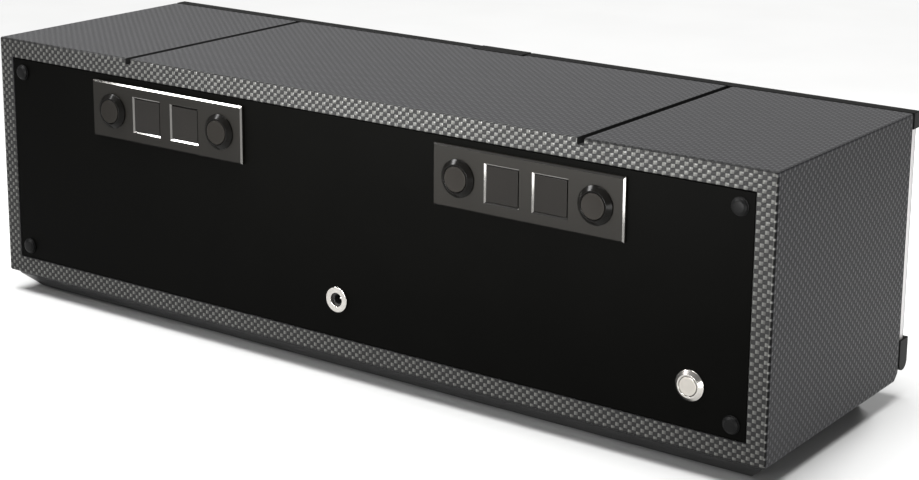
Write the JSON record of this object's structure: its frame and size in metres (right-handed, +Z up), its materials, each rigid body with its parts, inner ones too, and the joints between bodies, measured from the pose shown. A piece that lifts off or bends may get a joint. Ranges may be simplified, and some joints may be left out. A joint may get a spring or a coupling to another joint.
{
  "type": "watch winder box",
  "caption": "Leatherette watch winder box with a fold-down glass door, turning cushion cups and, at the back, a screwed panel with push buttons, display windows and a DC inlet.",
  "frame": {"origin": "centre of the overall box, on the surface that the rubber feet rest on", "axes": "+X along the width, towards the right as seen from the glass door; +Y from the glass door towards the back panel; +Z up"},
  "size_m": [0.644, 0.2056, 0.196],
  "materials": {
    "leatherette": "board covered in leatherette embossed with a two-tone grey basket weave, satin",
    "lacquer": "black lacquer on board, satin gloss",
    "panel_black": "near-black satin panel with a fine leather-like grain",
    "gunmetal": "dark grey anodised, finely bead-blasted, with bright cut chamfers",
    "smoked_window": "smoked display lens",
    "bezel_black": "black anodised, glossy cone",
    "cap_grey": "dark grey anodised satin",
    "circuit_board": "green solder mask",
    "chrome": "polished",
    "steel": "fine brushed",
    "black_aluminium": "black anodised, satin",
    "rubber": "matt",
    "cup_black": "black moulded, satin",
    "suede": "charcoal microfibre suede",
    "acetal": "ivory acetal",
    "clear_glass": "clear float glass with polished edges"
  },
  "bodies": {
    "case": {"case_shell": "leatherette", "base_plinth": "lacquer", "front_fascia": "lacquer", "motor_plate": "lacquer", "foot_1": "rubber", "foot_2": "rubber", "foot_3": "rubber", "foot_4": "rubber", "back_panel": "panel_black", "back_screw_1": "panel_black", "back_screw_2": "panel_black", "back_screw_3": "panel_black", "back_screw_4": "panel_black", "control_plate_left": "gunmetal", "control_plate_right": "gunmetal", "display_window_1": "smoked_window", "display_window_2": "smoked_window", "display_window_3": "smoked_window", "display_window_4": "smoked_window", "button_bezel_1": "bezel_black", "button_bezel_2": "bezel_black", "button_bezel_3": "bezel_black", "button_bezel_4": "bezel_black", "control_board_left": "circuit_board", "control_board_right": "circuit_board", "dc_jack": "chrome", "power_button_bezel": "chrome", "door_magnet": "steel", "gear_motor_1": "steel", "gear_motor_2": "steel", "gear_motor_3": "steel", "gear_motor_4": "steel", "hinge_block_left": "black_aluminium", "hinge_block_right": "black_aluminium"},
    "door": {"door_glass": "clear_glass", "door_rail": "black_aluminium", "door_pull": "black_aluminium", "hinge_bracket_left": "black_aluminium", "hinge_bracket_right": "black_aluminium", "hinge_pin_left": "steel", "hinge_pin_right": "steel"},
    "rotor_1": {"rotor_cup_1": "cup_black", "watch_cushion_1": "suede"},
    "pinion_1": {"motor_pinion_1": "acetal"},
    "button_1": {"button_cap_1": "cap_grey"},
    "rotor_2": {"rotor_cup_2": "cup_black", "watch_cushion_2": "suede"},
    "pinion_2": {"motor_pinion_2": "acetal"},
    "button_2": {"button_cap_2": "cap_grey"},
    "rotor_3": {"rotor_cup_3": "cup_black", "watch_cushion_3": "suede"},
    "pinion_3": {"motor_pinion_3": "acetal"},
    "button_3": {"button_cap_3": "cap_grey"},
    "rotor_4": {"rotor_cup_4": "cup_black", "watch_cushion_4": "suede"},
    "pinion_4": {"motor_pinion_4": "acetal"},
    "button_4": {"button_cap_4": "cap_grey"},
    "power_button": {"power_button_cap": "steel"}
  },
  "joints": [
    {"name": "door_hinge", "type": "hinge", "parent": "case", "child": "door", "pos_m": [0, -0.09665, 0.02665], "axis": [1, 0, 0], "range_deg": [0, 90]},
    {"name": "rotor_1_spin", "type": "hinge", "parent": "case", "child": "rotor_1", "pos_m": [-0.2315, 0.0032, 0.10515], "axis": [0, 1, 0], "continuous": true},
    {"name": "pinion_1_spin", "type": "hinge", "parent": "case", "child": "pinion_1", "pos_m": [-0.2315, 0.0032, 0.05915], "axis": [0, 1, 0], "continuous": true},
    {"name": "rotor_2_spin", "type": "hinge", "parent": "case", "child": "rotor_2", "pos_m": [-0.0772, 0.0032, 0.10515], "axis": [0, 1, 0], "continuous": true},
    {"name": "pinion_2_spin", "type": "hinge", "parent": "case", "child": "pinion_2", "pos_m": [-0.0772, 0.0032, 0.05915], "axis": [0, 1, 0], "continuous": true},
    {"name": "rotor_3_spin", "type": "hinge", "parent": "case", "child": "rotor_3", "pos_m": [0.0772, 0.0032, 0.10515], "axis": [0, 1, 0], "continuous": true},
    {"name": "pinion_3_spin", "type": "hinge", "parent": "case", "child": "pinion_3", "pos_m": [0.0772, 0.0032, 0.05915], "axis": [0, 1, 0], "continuous": true},
    {"name": "rotor_4_spin", "type": "hinge", "parent": "case", "child": "rotor_4", "pos_m": [0.2315, 0.0032, 0.10515], "axis": [0, 1, 0], "continuous": true},
    {"name": "pinion_4_spin", "type": "hinge", "parent": "case", "child": "pinion_4", "pos_m": [0.2315, 0.0032, 0.05915], "axis": [0, 1, 0], "continuous": true},
    {"name": "button_1_press", "type": "slide", "parent": "case", "child": "button_1", "axis": [0, -1, 0], "range_m": [0, 0.0015], "stiffness_N_per_m": 600},
    {"name": "button_2_press", "type": "slide", "parent": "case", "child": "button_2", "axis": [0, -1, 0], "range_m": [0, 0.0015], "stiffness_N_per_m": 600},
    {"name": "button_3_press", "type": "slide", "parent": "case", "child": "button_3", "axis": [0, -1, 0], "range_m": [0, 0.0015], "stiffness_N_per_m": 600},
    {"name": "button_4_press", "type": "slide", "parent": "case", "child": "button_4", "axis": [0, -1, 0], "range_m": [0, 0.0015], "stiffness_N_per_m": 600},
    {"name": "power_button_press", "type": "slide", "parent": "case", "child": "power_button", "axis": [0, -1, 0], "range_m": [0, 0.0015], "stiffness_N_per_m": 600}
  ],
  "couplings": [
    {"joint": "pinion_1_spin", "follows": "rotor_1_spin", "ratio": -3.6},
    {"joint": "pinion_2_spin", "follows": "rotor_2_spin", "ratio": -3.6},
    {"joint": "pinion_3_spin", "follows": "rotor_3_spin", "ratio": -3.6},
    {"joint": "pinion_4_spin", "follows": "rotor_4_spin", "ratio": -3.6}
  ]
}
